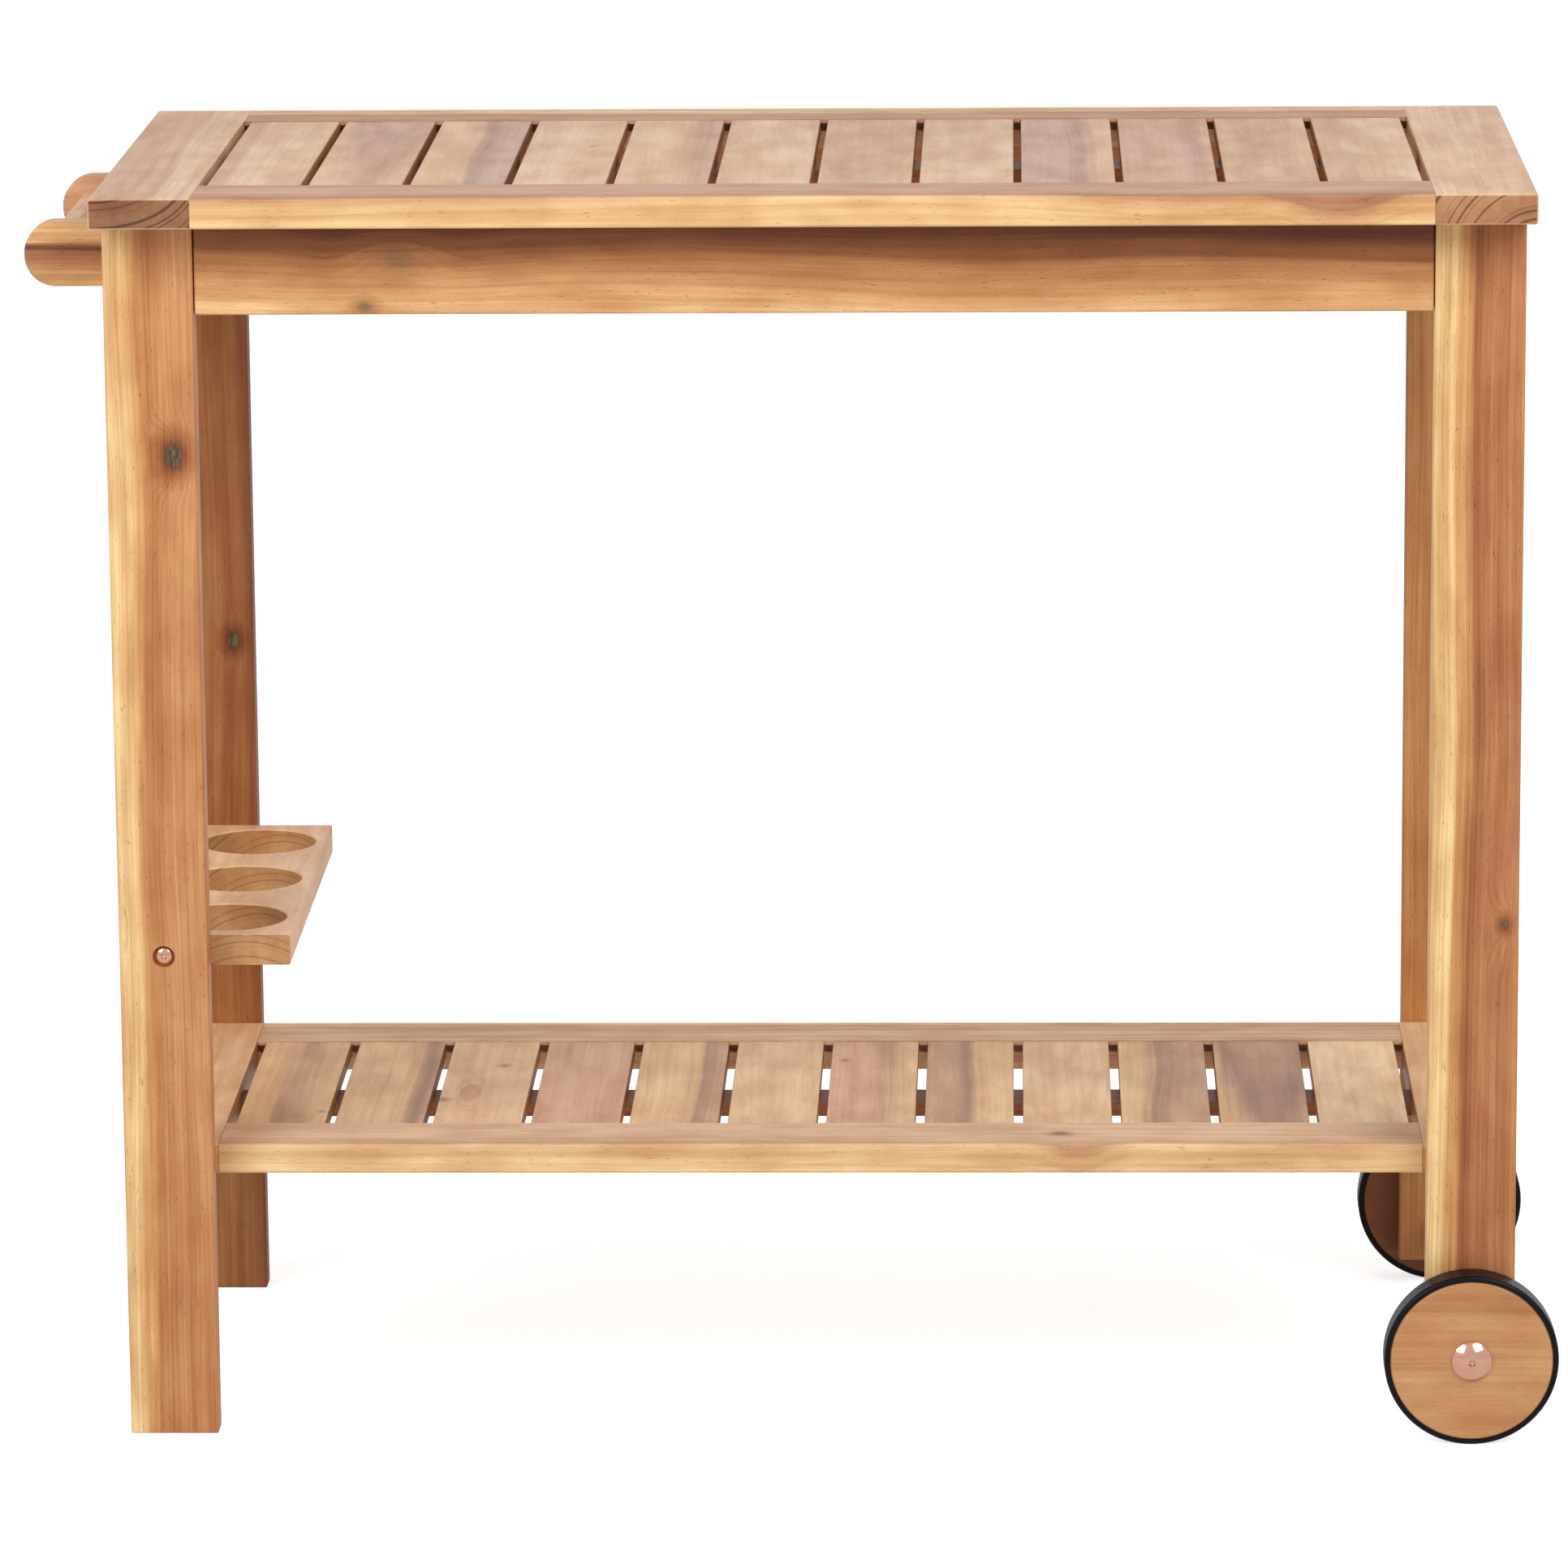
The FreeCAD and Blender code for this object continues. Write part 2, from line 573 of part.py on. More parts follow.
bar_start, bar_end = opposite(ARM_INNER_SIDE), ARM_INNER_SIDE
bar = Piece("handle_bar", (BAR_LINE, bar_start, APRON_MIDDLE))
bar.pad("y", bar_start, bar_end, bar.circles("y", bar_start, "bar_radius", [(BAR_LINE, APRON_MIDDLE)]))
tenon_ends = ((f"({bar_start} - tenon_length)", bar_start), (bar_end, f"({bar_end} + tenon_length)"))
for start, stop in tenon_ends:
    bar.pad("y", start, stop, bar.circles("y", start, "tenon_radius", [(BAR_LINE, APRON_MIDDLE)]))

for arm, middle in ((arm_front, opposite(ARM_SIDE_MIDDLE)), (arm_back, ARM_SIDE_MIDDLE)):
    dowel_joint(arm, apron_left, "x", LEFT_APRON, [(middle, f"({APRON_MIDDLE} + arm_dowel_rise)")])

# Bolts and barrel nuts: two pairs run along the depth, two along the length
bolts = Piece("frame_bolts", ("0", "0", "0"))
nuts = Piece("barrel_nuts", ("0", "0", "0"))


def bolt_joint(carrier, carried, axis, face, inward, length, spot, nut_spot, nut_low, carried_under):
    """A bolt sunk in the carrier's face, through it and into a nut set across the carried board."""
    sign = "+" if inward else "-"

    def level(distance):
        return f"({face} {sign} {distance})"

    def span(first, second):
        return (level(first), level(second)) if inward else (level(second), level(first))

    seat = span("0", "head_seat")
    carrier.bore(axis, *seat, "(head_radius + bolt_play)", [spot])
    deep = span("head_seat", f"(head_seat + {length} + bolt_play)")
    carrier.bore(axis, *deep, BOLT_BORE, [spot])
    carried.bore(axis, *deep, BOLT_BORE, [spot])
    carried.bore("z", carried_under, f"({nut_low} + nut_length)", "(nut_radius + dowel_fit)", [nut_spot])
    head = span("(head_seat - head_height)", "head_seat")
    bolts.pad(axis, *head, bolts.circles(axis, head[0], "head_radius", [spot]))
    shank = span("head_seat", f"(head_seat + {length})")
    bolts.pad(axis, *shank, bolts.circles(axis, shank[0], "bolt_radius", [spot]))
    key = span("(head_seat - head_height)", "(head_seat - head_height + key_depth)")
    flats = [math.radians(60 * k) for k in range(6)]
    corners = [tuple(f"({place} + {round(trig(turn), 6)}*key_radius)"
                     for place, trig in zip(spot, (math.cos, math.sin))) for turn in flats]
    bolts.cut(axis, *key, bolts.polygon(axis, key[0], corners))
    nuts.pad("z", nut_low, f"({nut_low} + nut_length)",
             nuts.circles("z", nut_low, "nut_radius", [nut_spot]))
    through = span("0", f"(head_seat + 2*{length})")
    nuts.bore(axis, *through, "(bolt_radius + thread_fit)", [spot])


def key_rims(piece):
    """Names of the round edges of the faces that a six-sided key is sunk in."""
    shape = piece.body.Tip.Shape
    keyed = [face for face in shape.Faces if any(len(wire.Edges) == 6 for wire in face.Wires)]
    rims = [wire.Edges[0] for face in keyed for wire in face.Wires if len(wire.Edges) == 1]
    return [f"Edge{number}" for number, edge in enumerate(shape.Edges, start=1)
            if any(edge.isSame(rim) for rim in rims)]


rack_nut_low = f"({RACK_MIDDLE} - nut_length/2)"
rack_spot = (LEFT_LEG_MIDDLE, RACK_MIDDLE)
bolt_joint(leg_front_left, rack, "y", opposite(LEG_OUTER_SIDE), True, "rack_bolt_length",
           rack_spot, (LEFT_LEG_MIDDLE, f"(rack_nut_inset - {LEG_INNER_SIDE})"), rack_nut_low,
           "(rack_height - rack_thick)")
bolt_joint(leg_back_left, rack, "y", LEG_OUTER_SIDE, False, "rack_bolt_length",
           rack_spot, (LEFT_LEG_MIDDLE, f"({LEG_INNER_SIDE} - rack_nut_inset)"), rack_nut_low,
           "(rack_height - rack_thick)")
arm_nut_low = f"({APRON_MIDDLE} - nut_length/2)"
for arm, middle in ((arm_front, opposite(ARM_SIDE_MIDDLE)), (arm_back, ARM_SIDE_MIDDLE)):
    bolt_joint(apron_left, arm, "x", LEFT_APRON_INNER, False, "arm_bolt_length",
               (middle, APRON_MIDDLE), (f"({LEFT_APRON} - arm_nut_inset)", middle), arm_nut_low,
               f"({APRON_MIDDLE} - arm_height/2)")
bolts.dress("Fillet", "Radius", "head_round", key_rims(bolts))

# The axle through the right legs, with a washer against the outer face of each
axle_spot = [(RIGHT_LEG_MIDDLE, "wheel_radius")]
axle_end = f"({CAP_SIDE} + cap_socket)"
axle = Piece("axle", (RIGHT_LEG_MIDDLE, opposite(axle_end), "wheel_radius"))
axle.pad("y", opposite(axle_end), axle_end,
         axle.circles("y", opposite(axle_end), "axle_radius", axle_spot))
leg_front_right.bore("y", opposite(LEG_OUTER_SIDE), opposite(LEG_INNER_SIDE),
                     "(axle_radius + axle_fit)", axle_spot)
leg_back_right.bore("y", LEG_INNER_SIDE, LEG_OUTER_SIDE, "(axle_radius + axle_fit)", axle_spot)
washers = Piece("axle_washers", (RIGHT_LEG_MIDDLE, "0", "wheel_radius"))
washer_sides = ((f"(-{LEG_OUTER_SIDE} - washer_thick)", opposite(LEG_OUTER_SIDE)),
                (LEG_OUTER_SIDE, f"({LEG_OUTER_SIDE} + washer_thick)"))
for start, stop in washer_sides:
    washers.pad("y", start, stop, washers.circles("y", start, "washer_radius", axle_spot))
for start, stop in washer_sides:
    washers.bore("y", start, stop, "(axle_radius + axle_fit)", axle_spot)


def ring(label, start, stop, outer, inner):
    """A round piece on the wheels' axis with a bore right through it."""
    piece = Piece(label, (RIGHT_LEG_MIDDLE, start, "wheel_radius"))
    piece.pad("y", start, stop, piece.circles("y", start, outer, axle_spot))
    piece.bore("y", start, stop, inner, axle_spot)
    return piece


def rim_edges(piece, radius):
    """Names of the circular edges of a size."""
    return [f"Edge{number}" for number, edge in enumerate(piece.body.Tip.Shape.Edges, start=1)
            if isinstance(edge.Curve, Part.Circle) and abs(edge.Curve.Radius - radius) < 1e-4]


def value(alias):
    return float(sheet.get(alias))


for name, start, stop in (("front", opposite(WHEEL_OUTER_SIDE), opposite(WHEEL_INNER_SIDE)),
                          ("back", WHEEL_INNER_SIDE, WHEEL_OUTER_SIDE)):
    disc = ring(f"wheel_disc_{name}", start, stop, DISC_RADIUS, "(bush_radius + press_gap)")
    disc.dress("Chamfer", "Size", "disc_ease",
               rim_edges(disc, value("wheel_radius") - value("tyre_thick")))
    tyre = ring(f"wheel_tyre_{name}", start, stop, "wheel_radius", f"({DISC_RADIUS} + press_gap)")
    tyre.dress("Fillet", "Radius", "tyre_round", rim_edges(tyre, value("wheel_radius")))
    ring(f"wheel_bush_{name}", start, stop, "bush_radius", "(axle_radius + axle_fit)")


def axle_cap(label, face, outward):
    """A domed cap pressed on the end of the axle, with a small dimple in its middle."""
    sign = "+" if outward else "-"

    def level(distance):
        return f"({face} {sign} {distance})"

    def span(first, second):
        return (level(first), level(second)) if outward else (level(second), level(first))

    cap = Piece(label, (RIGHT_LEG_MIDDLE, face, "wheel_radius"))
    body_span = span("0", "cap_height")
    cap.pad("y", *body_span, cap.circles("y", body_span[0], "cap_radius", axle_spot))
    crown = value("cap_height") if outward else -value("cap_height")
    tops = [f"Edge{number}" for number, edge in enumerate(cap.body.Tip.Shape.Edges, start=1)
            if isinstance(edge.Curve, Part.Circle) and abs(edge.Curve.Center.y - crown) < 1e-4]
    cap.dress("Fillet", "Radius", "cap_round", tops)
    socket = span("0", "cap_socket")
    cap.bore("y", *socket, "(axle_radius + press_gap)", axle_spot)
    dimple = span("(cap_height - dimple_depth)", "cap_height")
    cap.bore("y", *dimple, "dimple_radius", axle_spot)
    return cap


axle_cap("axle_cap_front", opposite(CAP_SIDE), False)
axle_cap("axle_cap_back", CAP_SIDE, True)

# Dowels and screws, each kind one group of separate solids
dowel_group = doc.addObject("Part::Compound", "frame_dowels")
dowel_group.Label = "frame_dowels"
dowel_group.Links = dowels
screw_group = doc.addObject("Part::MultiFuse", "batten_screws")
screw_group.Label = "batten_screws"
screw_group.Shapes = screws
doc.recompute()

nodes = [thing for thing in doc.Objects if thing.TypeId == "PartDesign::Body"]
nodes += [dowel_group, screw_group]
for thing in doc.Objects:
    if "Invalid" in thing.State or "Error" in thing.State:
        raise RuntimeError(f"{thing.Label} is {thing.State}")
for node in nodes:
    if node.Shape.isNull() or not node.Shape.isValid():
        raise RuntimeError(f"{node.Label} has no valid shape")

os.makedirs("parts", exist_ok=True)
for node in nodes:
    node.Shape.exportStep(f"parts/{node.Label}.step")
print(len(nodes), "pieces")
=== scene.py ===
import bmesh
import bpy
import math
from mathutils import Matrix, Vector


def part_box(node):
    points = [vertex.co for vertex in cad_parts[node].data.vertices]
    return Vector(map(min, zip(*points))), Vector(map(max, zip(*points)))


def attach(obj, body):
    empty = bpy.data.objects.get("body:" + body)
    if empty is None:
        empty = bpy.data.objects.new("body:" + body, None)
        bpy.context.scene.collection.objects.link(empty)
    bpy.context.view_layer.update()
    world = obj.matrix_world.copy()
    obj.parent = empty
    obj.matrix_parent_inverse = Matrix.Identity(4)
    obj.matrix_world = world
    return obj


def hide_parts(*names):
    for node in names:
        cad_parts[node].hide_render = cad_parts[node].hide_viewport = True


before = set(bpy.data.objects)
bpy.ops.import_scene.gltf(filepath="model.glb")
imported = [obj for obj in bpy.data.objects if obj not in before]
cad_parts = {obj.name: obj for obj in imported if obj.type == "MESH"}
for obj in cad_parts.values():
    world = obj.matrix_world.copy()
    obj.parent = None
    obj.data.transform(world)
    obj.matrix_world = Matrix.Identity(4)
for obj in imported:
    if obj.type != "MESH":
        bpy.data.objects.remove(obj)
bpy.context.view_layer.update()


# Legs: four upright boards of acacia, planed square and oiled, with their long edges eased.
# Each was sawn from the outside of its log, so a pale band of sapwood runs down the left edge
# of the two front legs. The two at the wheel end stop short of the floor.

def linear(code):
    """The linear colour of an sRGB hex code."""
    parts = [int(code[place:place + 2], 16) / 255 for place in (1, 3, 5)]
    return [p / 12.92 if p <= 0.04045 else ((p + 0.055) / 1.055) ** 2.4 for p in parts] + [1.0]


def add(tree, kind, inputs, out=0, stops=(), **settings):
    """Add a node with its settings, its inputs set or linked, and give one of its outputs."""
    node = tree.nodes.new(kind)
    for name, setting in settings.items():
        setattr(node, name, setting)
    for name, value in inputs.items():
        if isinstance(value, bpy.types.NodeSocket):
            tree.links.new(value, node.inputs[name])
        else:
            node.inputs[name].default_value = value
    for number, (place, code) in enumerate(stops):
        points = node.color_ramp.elements
        point = points[number] if number < 2 else points.new(place)
        point.position = place
        point.color = linear(code)
    return node.outputs[out] if node.outputs else None


def dress(piece, material):
    """Give a CAD node one material."""
    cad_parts[piece].data.materials.clear()
    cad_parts[piece].data.materials.append(material)


# The figure of acacia, in millimetres: how far apart its rings and its latewood lines are,
# and how long and how wide each kind of mark is. Pores are drawn twice as wide as they are.
MM = 1000
RING_STEP = 7
LATEWOOD_STEP = 2.4
WANDER = (260, 90)
STREAK = (260, 6)
CLOUD = (55, 22)
FIBRE = (60, 0.9)
PORE = (6, 0.8)

# How much of the log's radius a ramp of growth colours covers, and how far full streaks move the colour
# along it. How thick the band is on a board's ends, the skin that the saw left, and on the sides of slats
# and shelf end boards, where a painted shade stands for the shadow in the gaps: where it starts and where
# it is full, and the same round a bore, as a share of the bore's radius.
GROWTH_SPAN = 120
STREAK_SWING = 24
END_AND_SIDE_SHADE_DEPTH = (0.4, 0.1)
BORED_SKIN = (1.008, 1.003)

# In radii of the knot: how far the rings bend round it along and across, and how far they
# are lifted, and how far its stain reaches along and across.
KNOT_BEND = (6, 3.2)
KNOT_LIFT = 2
KNOT_STAIN = (4, 3.03)


def patches(tree, place, size, shift=(0, 0, 0), detail=2, roughness=0.5, out=0):
    """Noise in patches that have a length along the board and a width across it."""
    along, across = size
    place = add(tree, "ShaderNodeMapping", {"Vector": place, "Location": shift,
                                            "Scale": (1 / along, 1 / across, 1 / across)})
    return add(tree, "ShaderNodeTexNoise", {"Vector": place, "Scale": 1, "Detail": detail,
                                            "Roughness": roughness}, out=out)


def distance(tree, place, centre, reach):
    """The distance from a centre on the board's face, as a share of the reach each way."""
    place = add(tree, "ShaderNodeMapping", {
        "Vector": place, "Scale": (1 / reach[0], 1 / reach[1], 0),
        "Location": (-centre[0] / reach[0], -centre[1] / reach[1], 0)})
    return add(tree, "ShaderNodeVectorMath", {0: place}, out="Value", operation="LENGTH")


def sawn_end_and_side_shade(tree, place, extent):
    """1 on the two faces at the ends of an extent of the board, 0 inside them."""
    place = add(tree, "ShaderNodeMath", {0: place}, operation="ABSOLUTE")
    start, full = (extent / 2 - depth for depth in END_AND_SIDE_SHADE_DEPTH)
    return add(tree, "ShaderNodeMapRange", {"Value": place, "From Min": start, "From Max": full})


def log_radius(tree, board, bent, pith, tilt, wave, eyes, knots):
    """The distance from the log's pith, lifted round each eye and each knot."""
    across = add(tree, "ShaderNodeMapping", {
        "Vector": bent, "Location": (0, -pith[0] - wave, -pith[1] - wave),
        "Rotation": (0, tilt[1], tilt[0])})
    across = add(tree, "ShaderNodeVectorMath", {0: across, 1: (0, 1, 1)}, operation="MULTIPLY")
    radius = add(tree, "ShaderNodeVectorMath", {0: across}, out="Value", operation="LENGTH")
    bumps = list(eyes)
    bumps += [(along, aside, size * KNOT_BEND[0], size * KNOT_BEND[1], size * KNOT_LIFT)
              for along, aside, size, depth in knots]
    for along, aside, half_length, half_width, lift in bumps:
        near = distance(tree, board, (along, aside), (half_length, half_width))
        near = add(tree, "ShaderNodeMapRange", {"Value": near, "To Min": lift, "To Max": 0},
                   interpolation_type="SMOOTHERSTEP")
        radius = add(tree, "ShaderNodeMath", {0: radius, 1: near}, operation="ADD")
    return radius


def growth_colour(tree, radius, streak, seed, growth, heart, swing, lines):
    """The colour of the growth, moved to and fro along it by soft rings and by streaks."""
    rings = add(tree, "ShaderNodeMath", {0: radius, 1: 1 / RING_STEP, 2: seed}, operation="MULTIPLY_ADD")
    rings = add(tree, "ShaderNodeTexNoise", {"W": rings, "Scale": 1, "Detail": 2}, noise_dimensions="1D")
    still = heart + (swing + lines * STREAK_SWING) / 2
    place = add(tree, "ShaderNodeMath", {0: radius, 1: 1 / GROWTH_SPAN, 2: 0.5 - still / GROWTH_SPAN},
                operation="MULTIPLY_ADD")
    for figure, reach in ((rings, swing), (streak, lines * STREAK_SWING)):
        place = add(tree, "ShaderNodeMath", {0: figure, 1: reach / GROWTH_SPAN, 2: place},
                    operation="MULTIPLY_ADD")
    stops = [(0.5 + radial / GROWTH_SPAN, code) for radial, code in growth]
    return add(tree, "ShaderNodeValToRGB", {0: place}, stops=stops)


def knot_layers(tree, bent, fibre, pores, knot, wave):
    """The brown stain round a knot, and its grey-green core."""
    along, aside, size, depth = knot
    reach = [size * radii for radii in KNOT_STAIN]
    near = distance(tree, bent, (along, aside + wave), reach)
    near = add(tree, "ShaderNodeMath", {0: fibre, 1: 0.25, 2: near}, operation="MULTIPLY_ADD")
    stain = add(tree, "ShaderNodeValToRGB", {0: near}, stops=[
        (0.34, "#55402f"), (0.44, "#94745a"), (0.6, "#cbb09a"), (1, "#ffffff")])
    core = add(tree, "ShaderNodeMapRange", {"Value": near, "From Min": 0.42, "From Max": 0.28,
                                            "To Max": depth * 0.8})
    grey = add(tree, "ShaderNodeValToRGB", {0: pores}, stops=[(0.42, "#3f3729"), (0.58, "#766c54")])
    return [(depth, stain, "MULTIPLY"), (core, grey, "MIX")]


def acacia(piece, axes, growth, pith, heart, tilt=(0, 0), eyes=(), knots=(), wave=6, swing=12,
           lines=0.3, ends="#b8967c", end_lines=0.6, bore=0, bores=(), painted_side_shade=False):
    """Give a board its own figure of oiled acacia, worked out in millimetres from its middle.

    The axes are the board's length, width and thickness. The pith is the middle of the log's
    rings beside the board, the heart is the radius where the sapwood starts, and growth gives
    the colours from the heart outwards. The tilt leans the log along the board, which opens
    the rings into arches. An eye lifts the rings: place along and across, half its length and
    width, and its height. A knot is a dark branch end: place along and across, its radius and
    how dark it is. Bores of one radius through the thickness show end grain as the ends do.
    The side faces of a slat, in the gaps, are darkened by a painted shade.
    """
    low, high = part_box(piece)
    middle = (low + high) / 2 * MM
    length, width = ((high - low)["xyz".index(axis)] * MM for axis in axes[:2])
    seed = sum(ord(letter) * (place + 3) for place, letter in enumerate(piece)) % 97
    material = bpy.data.materials.new("oiled_acacia_" + piece)
    material.use_nodes = True
    tree = material.node_tree
    tree.nodes.clear()
    place = add(tree, "ShaderNodeTexCoord", {}, out="Object")
    place = add(tree, "ShaderNodeMapping", {"Vector": place, "Location": -middle, "Scale": (MM, MM, MM)})
    parts = add(tree, "ShaderNodeSeparateXYZ", {0: place}).node.outputs
    board = add(tree, "ShaderNodeCombineXYZ", {
        number: parts[axis.upper()] for number, axis in enumerate(axes)})

    # the log wanders from side to side over a hand's length, and its rings are round the pith
    wander = patches(tree, board, WANDER, shift=(seed, 0, 0), detail=1, roughness=0.3, out="Color")
    bent = add(tree, "ShaderNodeVectorMath", {0: wander, 1: (0, 2 * wave, 2 * wave), 2: board},
               operation="MULTIPLY_ADD")
    radius = log_radius(tree, board, bent, pith, tilt, wave, eyes, knots)
    streak = patches(tree, bent, STREAK, shift=(seed, 0, 0))
    colour = growth_colour(tree, radius, streak, seed, growth, heart, swing, lines)

    # each finer figure darkens the colour: streaks, a cloudy shimmer, latewood lines, fibres
    # and short open pores, from where the figure is dark to where it leaves the wood clean
    cloud = patches(tree, board, CLOUD, shift=(0, seed, 0))
    thin = add(tree, "ShaderNodeMath", {0: radius, 1: 1 / LATEWOOD_STEP}, operation="MULTIPLY")
    thin = add(tree, "ShaderNodeTexNoise", {"W": thin, "Scale": 1, "Detail": 1}, noise_dimensions="1D")
    fibre = patches(tree, bent, FIBRE)
    pores = patches(tree, bent, PORE, detail=1)
    layers = []
    for figure, depth, dark, dark_place, clean_place in (
            (streak, lines * 1.6, "#cfa987", 0.36, 0.6),
            (cloud, 0.8, "#e6d6c9", 0.35, 0.65),
            (thin, lines * 0.7, "#bf9576", 0.36, 0.52),
            (fibre, lines * 1.2, "#dfcbbb", 0.36, 0.6),
            (pores, min(lines * 2.2, 0.5), "#8c5f3a", 0.74, 0.68)):
        points = sorted([(dark_place, dark), (clean_place, "#ffffff")])
        tint = add(tree, "ShaderNodeValToRGB", {0: figure}, stops=points)
        layers.append((depth, tint, "MULTIPLY"))
    for knot in knots:
        layers += knot_layers(tree, bent, fibre, pores, knot, wave)

    # a painted shade darkens the side faces of a slat, for the shadow in the gaps between slats. The sawn
    # ends and bores drink more oil: they are darker, and show the rings as lines
    parts = add(tree, "ShaderNodeSeparateXYZ", {0: board}).node.outputs
    if painted_side_shade:
        layers.append((sawn_end_and_side_shade(tree, parts["Y"], width), linear("#c4a992"), "MULTIPLY"))
    end = sawn_end_and_side_shade(tree, parts["X"], length)
    for centre in bores:
        near = distance(tree, board, centre, (bore, bore))
        near = add(tree, "ShaderNodeMapRange", {"Value": near, "From Min": BORED_SKIN[0],
                                                "From Max": BORED_SKIN[1]})
        end = add(tree, "ShaderNodeMath", {0: end, 1: near}, operation="MAXIMUM")
    layers.append((end, linear(ends), "MULTIPLY"))
    end = add(tree, "ShaderNodeMath", {0: end, 1: end_lines}, operation="MULTIPLY")
    thin = add(tree, "ShaderNodeValToRGB", {0: thin}, stops=[(0.34, "#6f5546"), (0.41, "#ffffff")])
    layers.append((end, thin, "MULTIPLY"))
    for share, tint, blend in layers:
        colour = add(tree, "ShaderNodeMix", {0: share, 6: colour, 7: tint}, out=2,
                     data_type="RGBA", blend_type=blend)

    # the oil leaves a dull sheen, a little glossier on the hard fibres, which stand out
    rough = add(tree, "ShaderNodeMapRange", {"Value": fibre, "To Min": 0.54, "To Max": 0.42})
    relief = add(tree, "ShaderNodeBump", {"Height": fibre, "Strength": 0.2, "Distance": 0.0003})
    skin = add(tree, "ShaderNodeBsdfPrincipled", {"Base Color": colour, "Roughness": rough,
                                                  "Normal": relief, "Specular IOR Level": 0.35})
    add(tree, "ShaderNodeOutputMaterial", {0: skin})
    dress(piece, material)


# Growth colours: millimetres from the edge of the heart, dark heartwood to yellow sapwood
HONEY = [(-60, "#d09561"), (-25, "#d79e6b"), (-8, "#cf955f"), (-2, "#dca66c"), (4, "#f0c88b"),
         (9, "#f9d8a0"), (40, "#f2cd92")]
RUSSET = [(-60, "#d49d60"), (-40, "#d19a60"), (-34, "#c4895d"), (-16, "#c28558"), (-11, "#ae7246"),
          (-8, "#d09a62"), (-1, "#e0ae72"), (6, "#fbdca0"), (40, "#fcdca4")]
UMBER = [(-60, "#a4663d"), (-20, "#a86b40"), (-4, "#995c35"), (4, "#ab7142"), (20, "#b67e4a"),
         (50, "#ae7644")]
OCHRE = [(-60, "#b77a4b"), (-10, "#bd8350"), (0, "#a66b40"), (6, "#c38b57"), (40, "#cb955c")]
acacia("leg_front_left", "zxy", HONEY, pith=(95, -30), heart=111, lines=0.3,
       knots=[(251, 12, 7, 0.9)], eyes=[(-60, -24, 30, 5, 5)])
acacia("leg_front_right", "zxy", RUSSET, pith=(92, 20), heart=110, lines=0.32,
       knots=[(-69, 20, 3.2, 0.7)], eyes=[(-72, 17, 45, 14, 6)])
acacia("leg_back_left", "zxy", UMBER, pith=(50, 30), heart=46, knots=[(61, 14, 4.8, 0.85)])
acacia("leg_back_right", "zxy", OCHRE, pith=(90, 25), heart=60)

# Aprons: four boards under the top, doweled between the legs. The long front one shows its dark heartwood
# along the upper half, with a wavy edge to the yellow sapwood below. The darkest colours at the top of the
# aprons are also a painted shade of the overhanging top.
HEART_AND_OVERHANG_SHADE = [(-60, "#77401f"), (-24, "#73391b"), (-8, "#a2663c"), (2, "#c48b57"), (16, "#d7a26c"),
              (32, "#efc48b")]
acacia("apron_front", "xzy", HEART_AND_OVERHANG_SHADE, pith=(62, -14), heart=58, tilt=(0.012, 0), swing=10,
       wave=9, lines=0.22, eyes=[(-265, 10, 90, 40, -6)],
       knots=[(-265, 8, 9, 0.3), (-287, -25, 4, 0.5)])
acacia("apron_back", "xzy", HEART_AND_OVERHANG_SHADE, pith=(70, 20), heart=50)
acacia("apron_left", "yzx", HONEY, pith=(60, 20), heart=70)
acacia("apron_right", "yzx", HONEY, pith=(50, -20), heart=60)

# Top: two end boards across the depth and two long rails hold twelve cross slats, tongued
# into the rails, over a flat batten. Every slat is from another board, so no two match.
ROSY_HEART = [(-60, "#cda287"), (-16, "#d2a689"), (-2, "#bd8d6d"), (2, "#e8be8a"), (10, "#f3ce96"),
              (40, "#eec88e")]
# CREAM, ROSE and GREY, the top's colours, are paler and greyer than the wood itself: a painted sheen of
# the white room is mixed into them.
CREAM = [(-60, "#ddb698"), (-14, "#e0b99a"), (-2, "#d6ae8e"), (6, "#e7c4a4"), (22, "#edccac"),
         (50, "#e5c09e")]
TAN = [(-60, "#dbad86"), (-14, "#e0b28c"), (-2, "#d4a47c"), (6, "#ebc399"), (20, "#f2cea4"),
       (50, "#ecc698")]
ROSE = [(-60, "#d3aa90"), (-14, "#d9b298"), (-2, "#c79e84"), (6, "#e0b998"), (20, "#ecc9a4"),
        (50, "#e4be9a")]
GREY = [(-60, "#cba592"), (-14, "#d1ad99"), (-2, "#b9947f"), (6, "#deb696"), (18, "#ebc7a2"),
        (50, "#e6c09c")]
acacia("top_end_board_left", "yxz", CREAM, pith=(-30, 70), heart=70, swing=16, lines=0.15,
       ends="#a88e7c", end_lines=0.7)
acacia("top_end_board_right", "yxz", CREAM, pith=(34, -40), heart=44, swing=16, lines=0.15,
       ends="#ccb49c", end_lines=0.7)
acacia("top_rail_front", "xyz", ROSY_HEART, pith=(60, 60), heart=102, lines=0.18,
       eyes=[(335, -30, 60, 6, -6)])
acacia("top_rail_back", "xyz", ROSY_HEART, pith=(-50, -50), heart=80)
acacia("top_batten", "xyz", UMBER, pith=(60, -60), heart=90)
